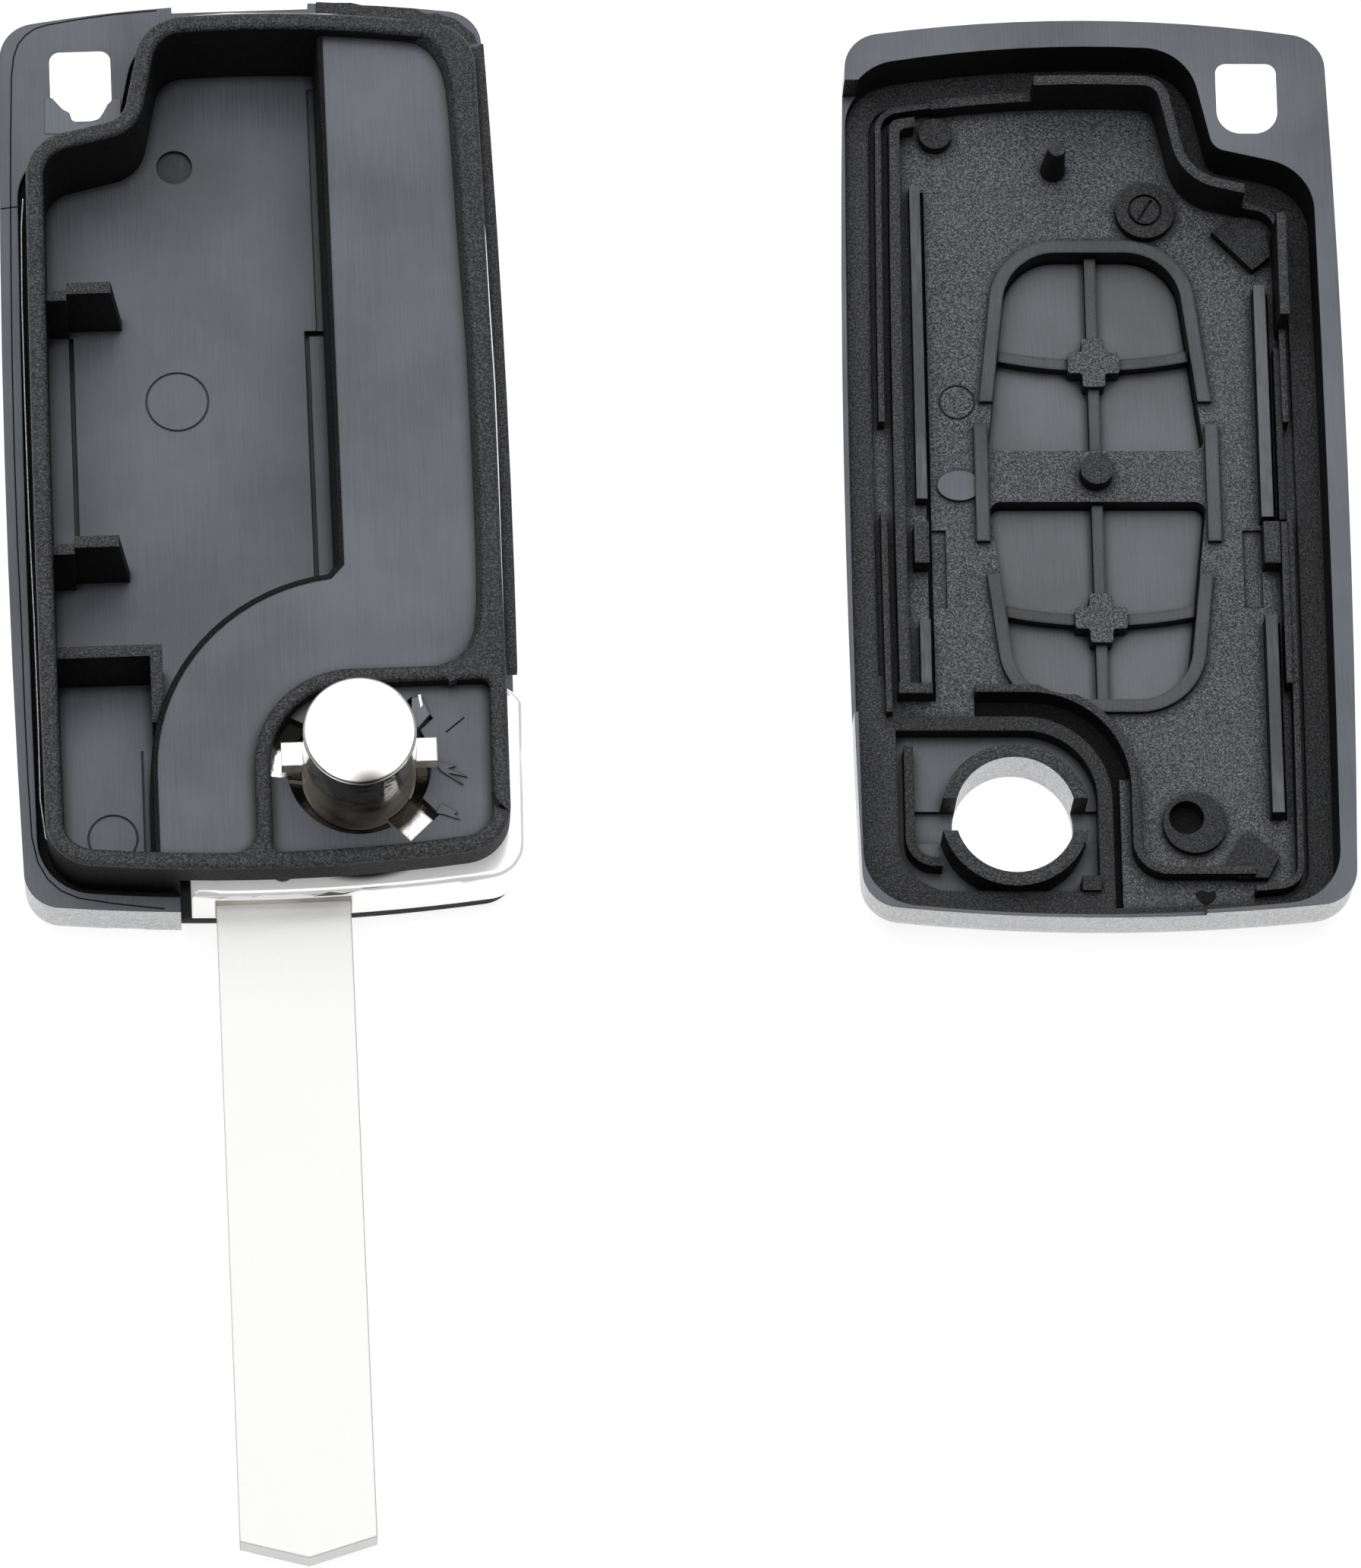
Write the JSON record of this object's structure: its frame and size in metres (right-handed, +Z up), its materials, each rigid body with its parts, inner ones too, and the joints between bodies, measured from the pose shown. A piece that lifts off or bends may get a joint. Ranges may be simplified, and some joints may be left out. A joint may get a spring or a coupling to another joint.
{
  "type": "key fob shell",
  "caption": "Opened two-part shell of a folding car key: rear case with swing-out blade and release button, front cover with soft keys laid beside it.",
  "frame": {"origin": "where the blade's hinge axis meets the surface that the rear case lies on", "axes": "+Y along the case, away from the blade; +Z up from the surface, out of the open case; +X towards the cover"},
  "size_m": [0.1006, 0.1208, 0.0168],
  "materials": {
    "case_plastic": "moulded glass-filled plastic, tool marks on flat faces",
    "cover_plastic": "moulded glass-filled plastic, fine spark texture inside",
    "key_rubber": "smooth soft plastic",
    "chrome": "bright chrome plate",
    "blade_steel": "nickel plated, satin",
    "spring_steel": "bright spring wire"
  },
  "bodies": {
    "shell": {"rear_case": "case_plastic", "front_cover": "cover_plastic"},
    "blade_carrier": {"blade_holder": "chrome", "key_blade": "blade_steel", "blade_pin": "blade_steel"},
    "release": {"release_button": "chrome", "flip_spring": "spring_steel"},
    "upper_key": {"upper_key": "key_rubber"},
    "lower_key": {"lower_key": "key_rubber"}
  },
  "joints": [
    {"name": "blade_flip", "type": "hinge", "parent": "shell", "child": "blade_carrier", "pos_m": [0, 0, 0.004], "axis": [0, 0, 1], "range_deg": [0, 70], "stiffness_Nm_per_rad": 0.01, "springref_deg": -17.19},
    {"name": "release_press", "type": "slide", "parent": "shell", "child": "release", "axis": [0, 0, -1], "range_m": [0, 0.0014], "stiffness_N_per_m": 300, "springref_m": -0.002, "deforming": ["flip_spring"]},
    {"name": "upper_key_press", "type": "slide", "parent": "shell", "child": "upper_key", "axis": [0, 0, 1], "range_m": [0, 0.0005], "stiffness_N_per_m": 300, "springref_m": -0.001},
    {"name": "lower_key_press", "type": "slide", "parent": "shell", "child": "lower_key", "axis": [0, 0, 1], "range_m": [0, 0.0005], "stiffness_N_per_m": 300, "springref_m": -0.001}
  ]
}
